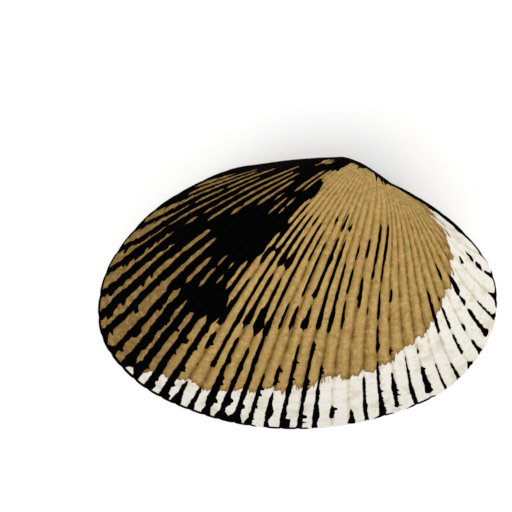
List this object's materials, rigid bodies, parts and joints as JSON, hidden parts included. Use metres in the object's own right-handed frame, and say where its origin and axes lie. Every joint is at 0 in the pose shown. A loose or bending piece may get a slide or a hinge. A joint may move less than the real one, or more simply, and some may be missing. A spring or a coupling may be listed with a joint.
{
  "type": "clam shell",
  "caption": "Single ribbed clam valve with an off-centre umbo, a crenulated oval margin and a hollow underside, lying on its rim with the outside up.",
  "frame": {"origin": "the middle of the valve's box, on the plane that its margin rests on", "axes": "+X along the valve towards its short anterior end, +Y towards the hinge and the umbo, +Z out of the convex outside"},
  "size_m": [0.06, 0.041, 0.0153],
  "materials": {
    "shell": "satin tan shell with dark brown grooves between the ribs and a dark flank"
  },
  "bodies": {
    "root": {"valve": "shell"}
  },
  "joints": []
}
